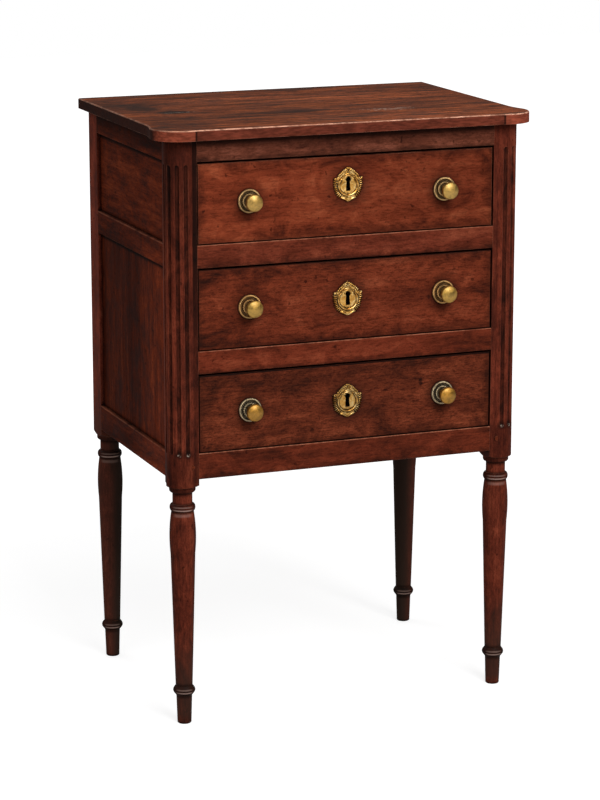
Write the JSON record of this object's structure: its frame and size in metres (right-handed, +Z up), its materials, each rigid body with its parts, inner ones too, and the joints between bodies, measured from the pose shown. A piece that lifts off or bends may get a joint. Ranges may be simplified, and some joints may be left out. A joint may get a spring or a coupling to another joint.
{
  "type": "chiffonier",
  "caption": "Small dark wooden chiffonier on tall turned legs, with fluted rounded front posts and sliding drawers with brass knobs, escutcheons and locks.",
  "frame": {"origin": "on the floor, at the middle of the outer box", "axes": "+Z up; -Y is the front with the drawers, which slide towards -Y; +X is the viewer's right when facing the front"},
  "size_m": [0.49, 0.3454, 0.74],
  "materials": {
    "case_wood": "dark red-brown polished wood, worn at the edges",
    "drawer_front_wood": "red-brown polished wood with a flowing figure",
    "inner_wood": "unpolished plain wood, darkened by age",
    "brass": "old polished brass with dark hollows",
    "gilt_brass": "cast gilt brass with dark hollows",
    "iron": "dark hand-worked iron"
  },
  "bodies": {
    "carcass": {"top": "case_wood", "front_left_post": "case_wood", "front_right_post": "case_wood", "rear_left_post": "case_wood", "rear_right_post": "case_wood", "front_top_rail": "case_wood", "front_upper_divider": "case_wood", "front_lower_divider": "case_wood", "front_bottom_rail": "case_wood", "left_top_rail": "case_wood", "left_middle_rail": "case_wood", "left_bottom_rail": "case_wood", "left_upper_panel": "case_wood", "left_lower_panel": "case_wood", "right_top_rail": "case_wood", "right_middle_rail": "case_wood", "right_bottom_rail": "case_wood", "right_upper_panel": "case_wood", "right_lower_panel": "case_wood", "rail_pegs": "case_wood", "back_top_rail": "inner_wood", "back_bottom_rail": "inner_wood", "back_panel": "inner_wood", "drawer_runners": "inner_wood", "drawer_guides": "inner_wood", "top_kickers": "inner_wood", "drawer_stops": "inner_wood"},
    "upper_drawer": {"upper_drawer_front": "drawer_front_wood", "upper_drawer_left_side": "inner_wood", "upper_drawer_right_side": "inner_wood", "upper_drawer_back": "inner_wood", "upper_drawer_bottom": "inner_wood", "upper_drawer_knobs": "brass", "upper_drawer_knob_roses": "brass", "upper_drawer_knob_nuts": "iron", "upper_drawer_escutcheon": "gilt_brass", "upper_drawer_lock_case": "iron"},
    "upper_bolt": {"upper_drawer_lock_bolt": "iron"},
    "middle_drawer": {"middle_drawer_front": "drawer_front_wood", "middle_drawer_left_side": "inner_wood", "middle_drawer_right_side": "inner_wood", "middle_drawer_back": "inner_wood", "middle_drawer_bottom": "inner_wood", "middle_drawer_knobs": "brass", "middle_drawer_knob_roses": "brass", "middle_drawer_knob_nuts": "iron", "middle_drawer_escutcheon": "gilt_brass", "middle_drawer_lock_case": "iron"},
    "middle_bolt": {"middle_drawer_lock_bolt": "iron"},
    "lower_drawer": {"lower_drawer_front": "drawer_front_wood", "lower_drawer_left_side": "inner_wood", "lower_drawer_right_side": "inner_wood", "lower_drawer_back": "inner_wood", "lower_drawer_bottom": "inner_wood", "lower_drawer_knobs": "brass", "lower_drawer_knob_roses": "brass", "lower_drawer_knob_nuts": "iron", "lower_drawer_escutcheon": "gilt_brass", "lower_drawer_lock_case": "iron"},
    "lower_bolt": {"lower_drawer_lock_bolt": "iron"}
  },
  "joints": [
    {"name": "upper_drawer_slide", "type": "slide", "parent": "carcass", "child": "upper_drawer", "axis": [0, -1, 0], "range_m": [0, 0.24]},
    {"name": "upper_bolt_slide", "type": "slide", "parent": "upper_drawer", "child": "upper_bolt", "axis": [0, 0, 1], "range_m": [0, 0.007]},
    {"name": "middle_drawer_slide", "type": "slide", "parent": "carcass", "child": "middle_drawer", "axis": [0, -1, 0], "range_m": [0, 0.24]},
    {"name": "middle_bolt_slide", "type": "slide", "parent": "middle_drawer", "child": "middle_bolt", "axis": [0, 0, 1], "range_m": [0, 0.007]},
    {"name": "lower_drawer_slide", "type": "slide", "parent": "carcass", "child": "lower_drawer", "axis": [0, -1, 0], "range_m": [0, 0.24]},
    {"name": "lower_bolt_slide", "type": "slide", "parent": "lower_drawer", "child": "lower_bolt", "axis": [0, 0, 1], "range_m": [0, 0.007]}
  ]
}
